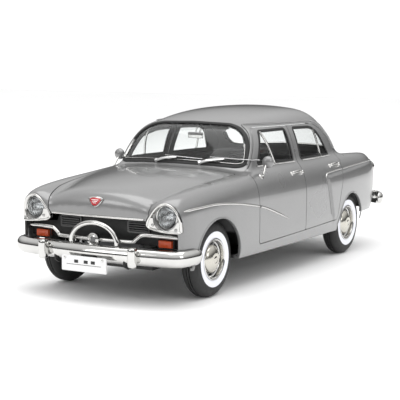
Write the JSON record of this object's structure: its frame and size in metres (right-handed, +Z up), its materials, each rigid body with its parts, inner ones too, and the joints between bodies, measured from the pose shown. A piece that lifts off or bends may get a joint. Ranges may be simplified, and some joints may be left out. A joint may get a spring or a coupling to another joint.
{
  "type": "model car",
  "caption": "Diecast saloon model car with opening doors, bonnet and boot lid, steered front wheels, whitewall tyres and chromed trim.",
  "frame": {"origin": "on the floor under the middle of the bounding box", "axes": "-Y is the car's nose, +X its left side, +Z up"},
  "size_m": [0.0988, 0.2682, 0.087],
  "materials": {
    "paint": "silver-grey metallic, gloss",
    "clear": "clear",
    "chrome": "polished",
    "black": "satin",
    "tub": "satin",
    "trim": "grained",
    "rim_grip": "gloss",
    "steel": "satin",
    "engine": "painted grey",
    "lens": "fluted clear",
    "signal": "clear orange-red",
    "lamp_red": "clear red",
    "plate": "satin white",
    "enamel": "gloss red",
    "tyre": "black with a white sidewall band"
  },
  "bodies": {
    "car_body": {"body_shell": "paint", "cabin_tub": "tub", "chassis": "black", "dashboard": "trim", "engine": "engine", "front_base_screw": "steel", "front_bench": "trim", "front_bumper": "chrome", "grille_arch": "chrome", "grille_bar": "chrome", "grille_panel": "black", "interior_mirror": "steel", "left_headlamp": "lens", "left_headlamp_bezel": "chrome", "left_overrider": "chrome", "left_tail_lamp": "lamp_red", "left_turn_signal": "signal", "left_wiper": "steel", "number_plate": "plate", "rear_base_screw": "steel", "rear_bench": "trim", "rear_bumper": "chrome", "rear_window": "clear", "right_headlamp": "lens", "right_headlamp_bezel": "chrome", "right_overrider": "chrome", "right_tail_lamp": "lamp_red", "right_turn_signal": "signal", "right_wiper": "steel", "windscreen": "clear"},
    "bonnet": {"bonnet": "paint", "bonnet_badge": "enamel"},
    "boot_lid": {"boot_lid": "paint"},
    "steering_wheel": {"steering_wheel": "rim_grip"},
    "tie_rod": {"tie_rod": "steel"},
    "front_left_door": {"front_left_door": "paint", "front_left_door_glass": "clear", "front_left_handle": "chrome", "left_wing_mirror": "paint"},
    "rear_left_door": {"rear_left_door": "paint", "rear_left_door_glass": "clear", "rear_left_handle": "chrome"},
    "left_knuckle": {"left_steering_knuckle": "steel"},
    "front_left_wheel": {"front_left_rim": "chrome", "front_left_tyre": "tyre"},
    "front_right_door": {"front_right_door": "paint", "front_right_door_glass": "clear", "front_right_handle": "chrome", "right_wing_mirror": "paint"},
    "rear_right_door": {"rear_right_door": "paint", "rear_right_door_glass": "clear", "rear_right_handle": "chrome"},
    "right_knuckle": {"right_steering_knuckle": "steel"},
    "front_right_wheel": {"front_right_rim": "chrome", "front_right_tyre": "tyre"},
    "rear_wheels": {"rear_axle": "steel", "rear_left_rim": "chrome", "rear_left_tyre": "tyre", "rear_right_rim": "chrome", "rear_right_tyre": "tyre"}
  },
  "joints": [
    {"name": "front_left_door_hinge", "type": "hinge", "parent": "car_body", "child": "front_left_door", "pos_m": [0.0478, -0.0513, 0.04], "axis": [0, 0, -1], "range_deg": [0, 60]},
    {"name": "rear_left_door_hinge", "type": "hinge", "parent": "car_body", "child": "rear_left_door", "pos_m": [0.0481, 0.0039, 0.04], "axis": [0, 0, -1], "range_deg": [0, 60]},
    {"name": "front_right_door_hinge", "type": "hinge", "parent": "car_body", "child": "front_right_door", "pos_m": [-0.0478, -0.0513, 0.04], "axis": [0, 0, 1], "range_deg": [0, 60]},
    {"name": "rear_right_door_hinge", "type": "hinge", "parent": "car_body", "child": "rear_right_door", "pos_m": [-0.0481, 0.0039, 0.04], "axis": [0, 0, 1], "range_deg": [0, 60]},
    {"name": "bonnet_hinge", "type": "hinge", "parent": "car_body", "child": "bonnet", "pos_m": [0, -0.0545, 0.0588], "axis": [-1, 0, 0], "range_deg": [0, 50]},
    {"name": "boot_hinge", "type": "hinge", "parent": "car_body", "child": "boot_lid", "pos_m": [0, 0.0803, 0.0594], "axis": [1, 0, 0], "range_deg": [0, 55]},
    {"name": "left_steer", "type": "hinge", "parent": "car_body", "child": "left_knuckle", "pos_m": [0.033, -0.0903, 0.01836], "axis": [0, 0, 1], "range_deg": [-20, 20]},
    {"name": "right_steer", "type": "hinge", "parent": "car_body", "child": "right_knuckle", "pos_m": [-0.033, -0.0903, 0.01836], "axis": [0, 0, 1], "range_deg": [-20, 20]},
    {"name": "steering_wheel_turn", "type": "hinge", "parent": "car_body", "child": "steering_wheel", "pos_m": [0.016, -0.031, 0.05], "axis": [0, 0.8, 0.6], "range_deg": [-60, 60]},
    {"name": "tie_rod_slide", "type": "slide", "parent": "car_body", "child": "tie_rod", "axis": [1, 0, 0], "range_m": [-0.0031, 0.0031]},
    {"name": "front_left_wheel_spin", "type": "hinge", "parent": "left_knuckle", "child": "front_left_wheel", "pos_m": [0.041, -0.0903, 0.01836], "axis": [1, 0, 0], "continuous": true},
    {"name": "front_right_wheel_spin", "type": "hinge", "parent": "right_knuckle", "child": "front_right_wheel", "pos_m": [-0.041, -0.0903, 0.01836], "axis": [1, 0, 0], "continuous": true},
    {"name": "rear_wheels_spin", "type": "hinge", "parent": "car_body", "child": "rear_wheels", "pos_m": [0, 0.0669, 0.01836], "axis": [1, 0, 0], "continuous": true}
  ],
  "couplings": [
    {"joint": "right_steer", "follows": "left_steer", "ratio": 1},
    {"joint": "steering_wheel_turn", "follows": "left_steer", "ratio": 3},
    {"joint": "tie_rod_slide", "follows": "left_steer", "m_per_rad": -0.0088}
  ]
}
